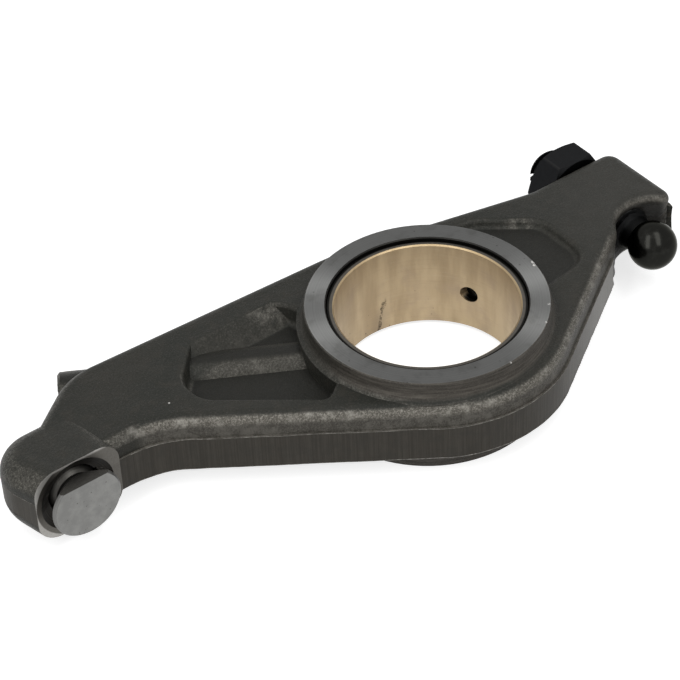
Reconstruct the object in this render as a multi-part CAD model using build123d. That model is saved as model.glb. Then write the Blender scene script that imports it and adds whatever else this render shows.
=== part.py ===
from build123d import *
import os
from math import cos, radians, sin, sqrt, tan

# Rocker arm of an overhead-valve diesel engine, with its bush, adjusting screw and swivel foot.
# Millimetres. The origin is the centre of the shaft bore, halfway between the hub's faces.
# +Z runs along the bore, +X points to the adjusting screw, +Y is up in the engine.

# Shaft bush
shaft_bore_d = 40.0
bush_wall = 1.75
bush_length = 22.0
bush_lead_in = 0.3

# Hub
hub_length = 23.5
hub_face_d = 53.0
hub_draft = 3.0
hub_foot_radius = 3.0
hub_foot_sweep = 60.0
hub_edge_break = 0.25
housing_lead_in = 0.25

# Arm section
arm_thickness = 15.0
edge_round = 2.7
wall_draft = 7.0
parting_drop = 1.5
trim_band_height = 8.3
trim_band_proud = 0.15

# Arm outline at the parting plane. A side has the direction of its outward normal, in degrees,
# and its distance from the bore axis.
hub_band_radius = 30.2
left_under_angle = 234.5
right_under_angle = 303.4
right_under_distance = 31.6
left_back_angle = 87.6
left_back_distance = 31.8
right_back_angle = 77.0
right_back_distance = 30.8
tip_slope_angle = 127.1
tip_slope_distance = 70.4
back_blend = 60.0
tip_corner = 17.0
left_under_blend = 20.0
right_under_blend = 9.0

# Foot boss at the valve end
foot_axis_x = -84.1
foot_face_y = 8.6
foot_boss_left_angle = 197.0
foot_boss_left_reach = 9.9
foot_boss_right_reach = 10.4
foot_boss_thickness = 18.0
foot_boss_back_thickness = 14.0
foot_boss_top_y = 26.0
foot_boss_corner = 9.5
foot_boss_inner_corner = 6.0
foot_boss_round = 5.0
foot_boss_overlap = 2.0
foot_shelf_rise = 0.3

# Screw boss at the push-rod end
screw_axis_x = 59.8
screw_boss_end_x = 70.8
screw_boss_under_y = -3.8
screw_boss_top_y = 21.0
screw_boss_near_corner = 5.0
screw_boss_far_corner = 4.2
screw_boss_blend = 8.0
nut_seat_depth = 0.6
nut_seat_margin = 1.5
ball_recess_r = 10.5
ball_recess_centre_y = -7.0
ball_recess_round = 2.0

# Pockets between the ribs, the same on both faces of the forging
left_pocket_depth = 4.25
left_pocket_under_angle = 231.0
left_pocket_under_distance = 26.0
left_pocket_end_x = -52.9
left_pocket_slope_angle = 136.0
left_pocket_slope_distance = 49.4
left_pocket_top_y = 26.2
left_pocket_bank_y = 25.2
left_pocket_bank_angle = 43.0
left_pocket_inner_angle = 15.0
left_pocket_inner_distance = -14.6
left_pocket_toe_angle = 307.0
left_pocket_toe_distance = -13.0
left_pocket_toe_corner = 2.5
left_pocket_corner = 7.0
left_pocket_rim_round = 1.0
right_pocket_depth = 1.8
right_pocket_back_distance = 25.2
right_pocket_slope_angle = 51.0
right_pocket_slope_distance = 33.0
right_pocket_end_x = 40.2
right_pocket_under_angle = 277.0
right_pocket_under_distance = 11.2
right_pocket_inner_x = 8.0
right_pocket_corner = 6.0
right_pocket_rim_round = 1.4
pocket_draft = 12.0
pocket_floor_round = 1.4

# Oil galleries, drilled from the outside and plugged
gallery_d = 4.0
gallery_boss_d = 11.0
gallery_rib_reach = 70.0
gallery_boss_edge = 0.6
long_gallery_angle = 149.9
long_gallery_offset = 3.5
long_gallery_reach = 80.0
short_gallery_y = 8.3
gallery_plug_d = 6.0
gallery_plug_length = 3.6
gallery_plug_recess = 0.4
gallery_plug_lead_in = 0.4
foot_feed_d = 2.5
foot_feed_reach = 73.0

# Adjusting screw, ball end and lock nut
screw_thread_d = 10.0
screw_neck_d = 8.0
screw_shoulder_y = 0.3
screw_ball_d = 11.2
screw_ball_y = -5.84
screw_tip_height = 4.8
screw_tip_chamfer = 0.8
screw_tip_dome = 0.4
screw_slot_width = 1.6
screw_slot_depth = 1.8
thread_clearance = 0.05
nut_across_flats = 16.0
nut_height = 7.0
nut_chamfer_angle = 30.0

# Swivel foot
foot_disc_d = 16.0
foot_disc_drop = 3.97
foot_disc_rim = 0.9
foot_disc_edge = 0.35
foot_cone_angle = 45.0
foot_flat_height = 5.65
foot_neck_d = 9.0
foot_ball_d = 12.5
foot_ball_depth = 5.4
foot_clearance = 0.05
foot_mouth_d = 17.4
foot_mouth_depth = 1.4

# Wire ring that keeps the foot in its socket
ring_wire_d = 1.2
ring_depth = 2.5
ring_gap_angle = 25.0
ring_clearance = 0.05

# Derived sizes
hub_half = hub_length / 2
arm_half = arm_thickness / 2
bush_od = shaft_bore_d + 2 * bush_wall
foot_boss_left_x = foot_axis_x - foot_boss_left_reach
foot_boss_right_x = foot_axis_x + foot_boss_right_reach
foot_boss_lean = radians(foot_boss_left_angle)
foot_boss_side = foot_boss_left_x * cos(foot_boss_lean) + foot_face_y * sin(foot_boss_lean)
foot_shelf_y = foot_face_y + foot_shelf_rise
nut_seat_y = screw_boss_top_y - nut_seat_depth
nut_corner_d = nut_across_flats / cos(radians(30))
screw_tip_y = nut_seat_y + nut_height + screw_tip_height
screw_hole_d = screw_thread_d + 2 * thread_clearance
foot_socket_r = foot_ball_d / 2 + foot_clearance
cut_margin = 5.0
tolerance = 0.001

# Working planes: local z points along the drilling, the screw or the foot
screw_plane = Plane(origin=(screw_axis_x, 0, 0), x_dir=(1, 0, 0), z_dir=(0, 1, 0))
foot_plane = Plane(origin=(foot_axis_x, foot_face_y, 0), x_dir=(1, 0, 0), z_dir=(0, 1, 0))


def crossing(side_a, side_b):
    """Point where two outline sides meet."""
    angle_a, distance_a = radians(side_a[0]), side_a[1]
    angle_b, distance_b = radians(side_b[0]), side_b[1]
    turn = sin(angle_b - angle_a)
    x = (distance_a * sin(angle_b) - distance_b * sin(angle_a)) / turn
    y = (distance_b * cos(angle_a) - distance_a * cos(angle_b)) / turn
    return (x, y)


def outline(sides):
    """Closed face from sides of (normal angle, distance, radius of the corner to the next side)."""
    following = sides[1:] + sides[:1]
    corners = [crossing(side, other) for side, other in zip(sides, following)]
    radii = [side[2] for side in sides]
    return make_face(FilletPolyline(*corners, radius=radii, close=True))


def arm_outline(inset):
    """Outline of the two arms round the hub, drawn in from the trimmed parting line.

    Hollow corners have a negative radius here: they grow as the outline is drawn in.
    """
    sides = [
        (left_under_angle, hub_band_radius, -left_under_blend),
        (270, -foot_shelf_y, foot_boss_overlap),
        (foot_boss_left_angle, foot_boss_side - foot_boss_overlap, foot_boss_corner - foot_boss_overlap),
        (90, foot_boss_top_y - foot_boss_overlap, -foot_boss_overlap),
        (tip_slope_angle, tip_slope_distance, tip_corner),
        (left_back_angle, left_back_distance, back_blend),
        (right_back_angle, right_back_distance, -screw_boss_blend),
        (90, screw_boss_top_y, screw_boss_far_corner),
        (0, screw_boss_end_x, screw_boss_near_corner),
        (270, -screw_boss_under_y, -right_under_blend),
        (right_under_angle, right_under_distance, hub_band_radius),
    ]
    return outline([(angle, distance - inset, abs(corner - inset)) for angle, distance, corner in sides])


def left_pocket_outline():
    return outline([
        (left_pocket_under_angle, left_pocket_under_distance, left_pocket_corner),
        (180, -left_pocket_end_x, left_pocket_corner),
        (left_pocket_slope_angle, left_pocket_slope_distance, left_pocket_corner),
        (90, left_pocket_top_y, left_pocket_corner),
        (left_pocket_inner_angle, left_pocket_inner_distance, pocket_floor_round),
        (left_pocket_toe_angle, left_pocket_toe_distance, left_pocket_toe_corner),
    ])


def right_pocket_outline():
    return outline([
        (right_back_angle, right_pocket_back_distance, right_pocket_corner),
        (right_pocket_slope_angle, right_pocket_slope_distance, right_pocket_corner),
        (0, right_pocket_end_x, right_pocket_corner),
        (right_pocket_under_angle, right_pocket_under_distance, right_pocket_corner),
        (180, -right_pocket_inner_x, pocket_floor_round),
    ])


def pocket(face, depth):
    """Drafted pocket tool, open at the arm's upper surface."""
    return extrude(Pos(0, 0, arm_half) * face, amount=-depth, taper=pocket_draft)


def floor_rounded(tool):
    return fillet(tool.edges().group_by(Axis.Z)[0], pocket_floor_round)


def left_pocket():
    """Pocket beside the foot's arm, with a bank instead of a wall under its upper rim."""
    tool = pocket(left_pocket_outline(), left_pocket_depth)
    rim = Plane(origin=(0, left_pocket_bank_y, arm_half), x_dir=(1, 0, 0), z_dir=(0, 0, 1))
    bank = rim.rotated((left_pocket_bank_angle, 0, 0))
    return floor_rounded(split(tool, bisect_by=bank, keep=Keep.TOP))


def ball_recess(radius):
    """Dish round the screw's ball, forged into the arm's underside."""
    return Pos(screw_axis_x, ball_recess_centre_y, 0) * Sphere(radius)


def recess_rim(body):
    """Edges where the dish breaks out of the arm's upper half, without those on the parting plane."""
    centre = Vector(screw_axis_x, ball_recess_centre_y, 0)
    raised = [edge for edge in body.edges() if (edge @ 0.5).Z > tolerance]
    return [
        edge
        for edge in raised
        if all(abs((edge @ t - centre).length - ball_recess_r) < tolerance for t in (0, 0.5, 1))
    ]


def arm_half_body():
    """Upper half of the two arms, drafted from the parting plane, with its pockets."""
    root = arm_outline(trim_band_proud)
    crest = arm_outline(trim_band_proud + arm_half * tan(radians(wall_draft)))
    body = loft([root, Pos(0, 0, arm_half) * crest], ruled=True)
    body = fillet(body.edges().group_by(Axis.Z)[-1], edge_round) - ball_recess(ball_recess_r)
    body = fillet(recess_rim(body), ball_recess_round)
    body -= left_pocket()
    body -= floor_rounded(pocket(right_pocket_outline(), right_pocket_depth))
    for side, rim_round in ((0, left_pocket_rim_round), (-1, right_pocket_rim_round)):
        rims = body.faces().sort_by(Axis.Z)[-1].inner_wires().sort_by(Axis.X)
        body = fillet(rims[side].edges(), rim_round)
    return body


def hub_half_body():
    """Upper half of the hub: drafted wall with a flared foot, and the machined face."""
    foot_z = arm_half + hub_foot_radius * sin(radians(hub_foot_sweep)) - hub_edge_break
    wall_top = (hub_face_d / 2, hub_half - hub_edge_break)
    wall_foot = (wall_top[0] + (wall_top[1] - foot_z) * tan(radians(hub_draft)), foot_z)
    wall = Line(wall_top, wall_foot)
    flare = JernArc(wall @ 1, wall % 1, hub_foot_radius, hub_foot_sweep)
    flare_end = flare @ 1
    face_edge = (wall_top[0] - hub_edge_break, hub_half)
    rest = Polyline(flare_end, (flare_end.X, 0), (0, 0), (0, hub_half), face_edge, wall_top)
    return revolve(Plane.XZ * make_face([wall, flare, rest]), Axis.Z)


def foot_boss_half():
    """Upper half of the foot boss: thicker than the arm at its face, and rounded all over."""
    plan = outline([
        (270, -foot_face_y, 0),
        (foot_boss_left_angle, foot_boss_side, foot_boss_corner),
        (90, foot_boss_top_y, foot_boss_inner_corner),
        (0, foot_boss_right_x, 0),
    ])
    side = Polyline(
        (foot_face_y, 0),
        (foot_face_y, foot_boss_thickness / 2),
        (foot_boss_top_y, foot_boss_back_thickness / 2),
        (foot_boss_top_y, 0),
        close=True,
    )
    wedge = extrude(Plane.YZ * make_face(side), amount=foot_boss_left_x * 2)
    boss = extrude(plan, amount=foot_boss_thickness) & wedge
    top = boss.faces().sort_by(Axis.Z)[-1]
    return fillet(top.edges().sort_by(Axis.Y)[1:], foot_boss_round)


def gallery_line(reach):
    """Point on the long gallery's axis, at a distance along it from the hub."""
    along = radians(long_gallery_angle)
    across = radians(long_gallery_angle + 90)
    x = reach * cos(along) + long_gallery_offset * cos(across)
    y = reach * sin(along) + long_gallery_offset * sin(across)
    return Vector(x, y, -parting_drop)


def short_gallery_point(x):
    """Point on the short gallery's axis."""
    return Vector(x, short_gallery_y, -parting_drop)


def rod(start, end, diameter):
    """Cylinder between two points."""
    return extrude(Plane(origin=start, z_dir=end - start) * Circle(diameter / 2), amount=(end - start).length)


def long_gallery_boss():
    """Round boss at the long gallery's drilled end, and the rib that carries it on to the hub."""
    boss = rod(gallery_line(0), gallery_line(long_gallery_reach), gallery_boss_d)
    end = boss.edges().filter_by(GeomType.CIRCLE).sort_by(Axis.X)[0]
    rib = Pos(0, 0, parting_drop) * rod(gallery_line(0), gallery_line(gallery_rib_reach), gallery_boss_d)
    return chamfer(end, gallery_boss_edge) + rib


def galleries():
    """Both oil drillings, with the wider seats of their plugs."""
    plug_room = gallery_plug_length + gallery_plug_recess
    outer = long_gallery_reach + cut_margin
    end = short_gallery_point(screw_boss_end_x + cut_margin)
    long_hole = rod(gallery_line(0), gallery_line(outer), gallery_d)
    long_seat = rod(gallery_line(long_gallery_reach - plug_room), gallery_line(outer), gallery_plug_d)
    short_hole = rod(short_gallery_point(0), end, gallery_d)
    short_seat = rod(short_gallery_point(screw_boss_end_x - plug_room), end, gallery_plug_d)
    return long_hole + long_seat + short_hole + short_seat


def foot_socket():
    """Ball socket of the foot, its flared mouth, the ring's groove and the drilling that feeds it."""
    depth = foot_ball_depth
    profile = Polyline(
        (0, -cut_margin),
        (foot_mouth_d / 2, -cut_margin),
        (foot_mouth_d / 2, 0),
        (foot_socket_r, foot_mouth_depth),
        (foot_socket_r, depth),
        (0, depth),
        close=True,
    )
    bore = revolve(Plane.XZ * make_face(profile), Axis.Z)
    groove = Pos(0, 0, ring_depth) * Torus(foot_socket_r, ring_wire_d / 2 + ring_clearance)
    socket = bore + Pos(0, 0, depth) * Sphere(foot_socket_r) + groove
    centre = Vector(foot_axis_x, foot_face_y + depth, 0)
    return foot_plane * socket + rod(centre, gallery_line(foot_feed_reach), foot_feed_d)


def housing_bore():
    """Bore of the hub for the bush, with a lead-in at each face."""
    bore_r = bush_od / 2
    wide_r = bore_r + housing_lead_in
    shoulder = hub_half - housing_lead_in
    half = Polyline(
        (0, 0),
        (bore_r, 0),
        (bore_r, shoulder),
        (wide_r, hub_half),
        (wide_r, hub_half + cut_margin),
        (0, hub_half + cut_margin),
        close=True,
    )
    upper = revolve(Plane.XZ * make_face(half), Axis.Z)
    return upper + mirror(upper, about=Plane.XY)


def upright(diameter, foot, top):
    """Cylinder on the z axis."""
    return Pos(0, 0, foot) * Cylinder(diameter / 2, top - foot, align=(Align.CENTER, Align.CENTER, Align.MIN))


def screw_hole():
    """Threaded hole of the screw and the faced seat of its lock nut."""
    hole = upright(screw_hole_d, screw_boss_under_y - cut_margin, screw_boss_top_y + cut_margin)
    seat = upright(nut_corner_d + 2 * nut_seat_margin, nut_seat_y, screw_boss_top_y + cut_margin)
    return screw_plane * (hole + seat)


def arm_forging():
    upper = arm_half_body() + hub_half_body() + foot_boss_half()
    band = Pos(0, 0, -parting_drop) * extrude(arm_outline(0), amount=trim_band_height / 2, both=True)
    band -= ball_recess(ball_recess_r + ball_recess_round)
    forging = upper + mirror(upper, about=Plane.XY) + band + long_gallery_boss()
    return forging - housing_bore() - galleries() - screw_hole() - foot_socket()


def shaft_bush():
    """Plain bronze bush with an oil hole at each gallery."""
    outer_r = bush_od / 2
    bore_r = shaft_bore_d / 2
    end_z = bush_length / 2
    profile = Polyline(
        (bore_r, bush_lead_in - end_z),
        (bore_r + bush_lead_in, -end_z),
        (outer_r - bush_lead_in, -end_z),
        (outer_r, bush_lead_in - end_z),
        (outer_r, end_z - bush_lead_in),
        (outer_r - bush_lead_in, end_z),
        (bore_r + bush_lead_in, end_z),
        (bore_r, end_z - bush_lead_in),
        close=True,
    )
    return revolve(Plane.XZ * make_face(profile), Axis.Z) - galleries()


def adjusting_screw():
    """Threaded screw with a ball end, a necked root and a slotted, domed tip."""
    ball_r = screw_ball_d / 2
    neck_r = screw_neck_d / 2
    thread_r = screw_thread_d / 2
    neck_z = screw_ball_y + sqrt(ball_r**2 - neck_r**2)
    thread_z = screw_shoulder_y
    dome_z = screw_tip_y - screw_tip_dome
    dome_r = thread_r - screw_tip_chamfer
    ball = ThreePointArc((0, screw_ball_y - ball_r), (ball_r, screw_ball_y), (neck_r, neck_z))
    shank = Polyline(
        (neck_r, neck_z),
        (neck_r, thread_z),
        (thread_r, thread_z + thread_r - neck_r),
        (thread_r, dome_z - screw_tip_chamfer),
        (dome_r, dome_z),
    )
    dome = TangentArc((0, screw_tip_y), (dome_r, dome_z), tangent=(1, 0))
    axis = Line((0, screw_tip_y), (0, screw_ball_y - ball_r))
    screw = revolve(Plane.XZ * make_face([ball, shank, dome, axis]), Axis.Z)
    slot = Pos(0, 0, screw_tip_y) * Box(screw_thread_d + cut_margin, screw_slot_width, 2 * screw_slot_depth)
    return screw_plane * (screw - slot)


def lock_nut():
    """Hexagon nut with both ends chamfered, one flat facing along the bore."""
    hexagon = RegularPolygon(nut_across_flats / 2, 6, major_radius=False)
    blank = extrude(hexagon, amount=nut_height)
    face_r = nut_across_flats / 2
    corner_r = nut_corner_d / 2
    drop = (corner_r - face_r) * tan(radians(nut_chamfer_angle))
    turned = Polyline(
        (0, 0),
        (face_r, 0),
        (corner_r, drop),
        (corner_r, nut_height - drop),
        (face_r, nut_height),
        (0, nut_height),
        close=True,
    )
    nut = blank & revolve(Plane.XZ * make_face(turned), Axis.Z)
    hole = Cylinder(screw_hole_d / 2, nut_height, align=(Align.CENTER, Align.CENTER, Align.MIN))
    return screw_plane * Pos(0, 0, nut_seat_y) * (nut - hole)


def swivel_foot():
    """Turned foot: disc with a flat face, conical back, neck and ball."""
    disc_r = foot_disc_d / 2
    neck_r = foot_neck_d / 2
    ball_r = foot_ball_d / 2
    face_z = -foot_disc_drop
    rim_z = face_z + foot_disc_rim
    cone_z = rim_z + (disc_r - neck_r) * tan(radians(foot_cone_angle))
    ball_z = foot_ball_depth - sqrt(ball_r**2 - neck_r**2)
    turned = Polyline(
        (0, foot_ball_depth + ball_r),
        (0, face_z),
        (disc_r - foot_disc_edge, face_z),
        (disc_r, face_z + foot_disc_edge),
        (disc_r, rim_z),
        (neck_r, cone_z),
        (neck_r, ball_z),
    )
    ball = ThreePointArc(turned @ 1, (ball_r, foot_ball_depth), turned @ 0)
    foot = revolve(Plane.XZ * make_face([turned, ball]), Axis.Z)
    flat_depth = disc_r - foot_flat_height + cut_margin
    flat = Pos(0, -foot_flat_height - flat_depth / 2, face_z) * Box(
        foot_disc_d, flat_depth, cone_z - face_z, align=(Align.CENTER, Align.CENTER, Align.MIN)
    )
    return foot_plane * (foot - flat)


def foot_retaining_ring():
    """Split wire ring in the socket's groove, below the ball's widest circle."""
    wire = Plane.XZ * Pos(foot_socket_r, ring_depth) * Circle(ring_wire_d / 2)
    return foot_plane * revolve(wire, Axis.Z, 360 - ring_gap_angle)


def gallery_plug():
    """Cup-nosed press-in plug, along +Z from its inner end."""
    plug = Cylinder(gallery_plug_d / 2, gallery_plug_length, align=(Align.CENTER, Align.CENTER, Align.MIN))
    return chamfer(plug.edges().group_by(Axis.Z)[0], gallery_plug_lead_in)


def long_gallery_plug():
    seat = gallery_line(long_gallery_reach - gallery_plug_recess - gallery_plug_length)
    return Plane(origin=seat, z_dir=gallery_line(long_gallery_reach) - seat) * gallery_plug()


def short_gallery_plug():
    seat_x = screw_boss_end_x - gallery_plug_recess - gallery_plug_length
    return Plane(origin=short_gallery_point(seat_x), z_dir=(1, 0, 0)) * gallery_plug()


os.makedirs("parts", exist_ok=True)
pieces = [
    arm_forging,
    shaft_bush,
    adjusting_screw,
    lock_nut,
    swivel_foot,
    foot_retaining_ring,
    long_gallery_plug,
    short_gallery_plug,
]
for piece in pieces:
    export_step(piece(), "parts/" + piece.__name__ + ".step")
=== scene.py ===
from math import atan2, cos, hypot, pi, radians, sin, sqrt
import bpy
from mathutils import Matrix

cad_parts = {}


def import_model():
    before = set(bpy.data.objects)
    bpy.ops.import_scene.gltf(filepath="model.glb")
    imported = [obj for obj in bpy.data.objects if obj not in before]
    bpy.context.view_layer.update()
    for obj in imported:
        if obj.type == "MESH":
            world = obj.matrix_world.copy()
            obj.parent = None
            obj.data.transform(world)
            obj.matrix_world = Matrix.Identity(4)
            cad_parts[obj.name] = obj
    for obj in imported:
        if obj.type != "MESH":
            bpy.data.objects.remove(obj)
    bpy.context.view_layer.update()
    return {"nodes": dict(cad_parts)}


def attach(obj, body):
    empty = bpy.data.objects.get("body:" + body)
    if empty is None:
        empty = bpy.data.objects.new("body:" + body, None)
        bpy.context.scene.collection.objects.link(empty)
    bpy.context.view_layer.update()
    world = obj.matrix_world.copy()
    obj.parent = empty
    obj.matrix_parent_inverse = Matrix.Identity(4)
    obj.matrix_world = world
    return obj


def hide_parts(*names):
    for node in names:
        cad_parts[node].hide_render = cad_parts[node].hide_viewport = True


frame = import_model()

from types import SimpleNamespace

import bmesh
import bpy
from mathutils import Matrix, Vector, noise

# Rocker arm lying on its side. The frame is the part's own: origin at the centre of the shaft
# bore, +Z along the bore, +X to the adjusting screw. Lengths are millimetres, except those of
# the camera and the lamps, which are metres. Pieces keep their origin at the frame's origin.

MM = 0.001
scene = bpy.context.scene
scene.view_settings.view_transform = "Standard"

# The part's own sizes: radii end in _R, and places along an axis in _X or _Y
HUB_HALF, HUB_R, HOUSING_R = 11.75, 26.5, 22.0
ARM_HALF = 7.5
FOOT_X, FOOT_BOSS_X = -84.1, -71.0
PAD_Y = 8.6
MOUTH_R, MOUTH_Y = 8.75, 10.2
SOCKET_R, SOCKET_Y = 6.6, 15.2
SCREW_X, SCREW_R = 59.8, 5.0
BALL_Y, BALL_R = -5.84, 5.6
TIP_Y = 32.2
NUT_SEAT_Y, NUT_SEAT_R = 20.4, 11.5
DISH_Y, DISH_R = -7.0, 10.5
BAND_TOP, BAND_BOTTOM = 2.65, -5.65

# Limits of painted places along a coordinate or radius: where a mask is 0 and where it is 1
HUB_SIDE_RADIUS = 34.0, 28.0
LEFT_POCKET_X = -16.0, -20.0
RIGHT_POCKET_START_X, RIGHT_POCKET_END_X = (16.0, 20.0), (42.4, 41.9)
RIB_X, RIB_Y = (-20.0, -24.0), (19.0, 17.5)
PALER_END_X = 34.0, 56.0
FLANK_X = 16.0, 44.0
# The pad's painted shade, and its painted highlight at the rim
PAD_SHADE_X, PAD_SHADE_Z = (-87.0, -91.0), (-5.0, 1.0)
PAD_RIM_X, PAD_RIM_Z, PAD_RIM_RADIUS = (-84.0, -88.0), (8.2, 8.8), (9.7, 10.0)
BUSH_BACKING_RADIUS, BUSH_SEAM_RADIUS = (20.30, 20.36), (20.85, 21.15)
BALL_TOP_Y = -1.6, -2.2
NUT_CORNER_RADIUS = 8.95, 9.2

# Straight sides of the pockets: the direction in x and y that each faces, and how far along
# it the pocket's own paint has ended and is full
LEFT_POCKET_LOWER = (-0.629, -0.777), 27.3, 26.3
LEFT_POCKET_UPPER = (-0.719, 0.695), 50.7, 50.1
RIGHT_POCKET_LOWER = (0.122, -0.993), 13.2, 12.7
RIGHT_POCKET_UPPER = (0.629, 0.777), 35.0, 34.5

# Painted highlights on corners of the pockets' rims, and knocks from handling: centre and radius
RIM_HIGHLIGHTS = ((-25.0, 25.5, 5.5), 7.5), ((37.0, 13.4, 7.0), 5.5)
KNOCKS = (
    ((25.85, -4.25, HUB_HALF), 0.75),
    ((25.3, -5.2, HUB_HALF), 0.5),
    ((19.38, -17.16, HUB_HALF), 0.4),
    ((15.08, -21.23, HUB_HALF), 0.35),
    ((1.23, -26.5, HUB_HALF), 0.45),
    ((-58.54, 12.31, ARM_HALF), 0.33),
)

# Linear colours of the forging. A pair runs from its darker to its lighter tone.
SCALE = (0.019, 0.020, 0.0165), (0.026, 0.0255, 0.021)
SCALE_PATCH = (0.031, 0.029, 0.0235)
SCALE_PALE_END = (0.040, 0.039, 0.034)
SCALE_FLECK = (0.056, 0.054, 0.047)
SCALE_PIT = (0.010, 0.010, 0.0085)
POCKET_FLOOR = (0.009, 0.009, 0.0075), (0.017, 0.0165, 0.014)
EDGE_WEAR_AND_HIGHLIGHT = (0.092, 0.085, 0.072), (0.245, 0.232, 0.204)
EDGE_PATCH = (0.310, 0.297, 0.265)
WALL_HIGHLIGHT = (0.058, 0.053, 0.045), (0.118, 0.110, 0.095)
WALL_PATCH = (0.130, 0.122, 0.106)
HUB_SIDE = (0.050, 0.044, 0.037), (0.118, 0.106, 0.090)
HUB_SIDE_FLECK = (0.120, 0.110, 0.095)
BAND = (0.036, 0.032, 0.026), (0.052, 0.047, 0.039)
BAND_MARK = (0.085, 0.078, 0.067)
BAND_PATCH = (0.030, 0.029, 0.025)
BAND_FLANK_HIGHLIGHT = (0.145, 0.140, 0.131), (0.260, 0.254, 0.241)
RING = (0.138, 0.139, 0.136), (0.182, 0.183, 0.178)
RING_STAIN = (0.098, 0.097, 0.091)
RING_SPECK = (0.055, 0.052, 0.047)
RING_RIM = (0.36, 0.36, 0.35)
HOUSING_SHADE = (0.010, 0.010, 0.009), (0.026, 0.025, 0.023)
NUT_SEAT = (0.10, 0.10, 0.098)
PAD = (0.075, 0.070, 0.062), (0.130, 0.124, 0.112)
PAD_SHADE = (0.030, 0.027, 0.022)
PAD_RIM_HIGHLIGHT = (0.24, 0.23, 0.215), (0.42, 0.41, 0.39)
MOUTH_SHADE = (0.014, 0.0125, 0.0105), (0.040, 0.036, 0.030)
DISH_SHADE = (0.007, 0.0065, 0.0055), (0.020, 0.0185, 0.016)
KNOCK = (0.50, 0.49, 0.47)

# Of the bush
BRONZE = (0.320, 0.245, 0.152), (0.425, 0.335, 0.215)
BRONZE_WORN = (0.315, 0.245, 0.175)
BRONZE_STREAK_PALE = (0.43, 0.355, 0.250)
BRONZE_STREAK_DARK = (0.240, 0.180, 0.110)
BRONZE_HAZE = (0.20, 0.16, 0.12)
BRONZE_SMUDGE = (0.055, 0.045, 0.035)
BRONZE_LEAD_IN = (0.38, 0.28, 0.15)
BUSH_BACKING = (0.060, 0.055, 0.048), (0.115, 0.106, 0.093)
BUSH_SEAM_SHADE = (0.006, 0.006, 0.005)

# Of the screw, the nut and the burrs
SCREW_OXIDE = (0.0050, 0.0051, 0.0053), (0.0110, 0.0111, 0.0114)
SCREW_CREST = (0.050, 0.050, 0.050)
BALL = (0.015, 0.015, 0.0135), (0.026, 0.026, 0.0235)
SCREW_TINT = (0.65, 0.65, 0.63)
NUT = (0.0105, 0.0108, 0.0116), (0.0165, 0.0170, 0.0180)
NUT_CHAMFER = (0.018, 0.018, 0.0185)
NUT_CORNER = (0.030, 0.030, 0.029)
NUT_DRAG = (0.016, 0.0165, 0.0175)
NUT_TINT = (0.70, 0.70, 0.70)
BURR = (0.070, 0.065, 0.056), (0.190, 0.180, 0.160)

# Of the swivel foot, its retaining ring and the gallery plugs
FOOT = (0.120, 0.119, 0.114), (0.185, 0.184, 0.178)
FOOT_FACE = (0.165, 0.165, 0.159), (0.215, 0.215, 0.206)
FOOT_SPECK = (0.075, 0.070, 0.063)
FOOT_INNER = (0.022, 0.020, 0.017), (0.050, 0.047, 0.041)
SPRING_WIRE = (0.045, 0.043, 0.040), (0.090, 0.087, 0.080)
PLUG = (0.10, 0.099, 0.094), (0.19, 0.186, 0.178)


# ---------------------------------------------------------------- materials

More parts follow.
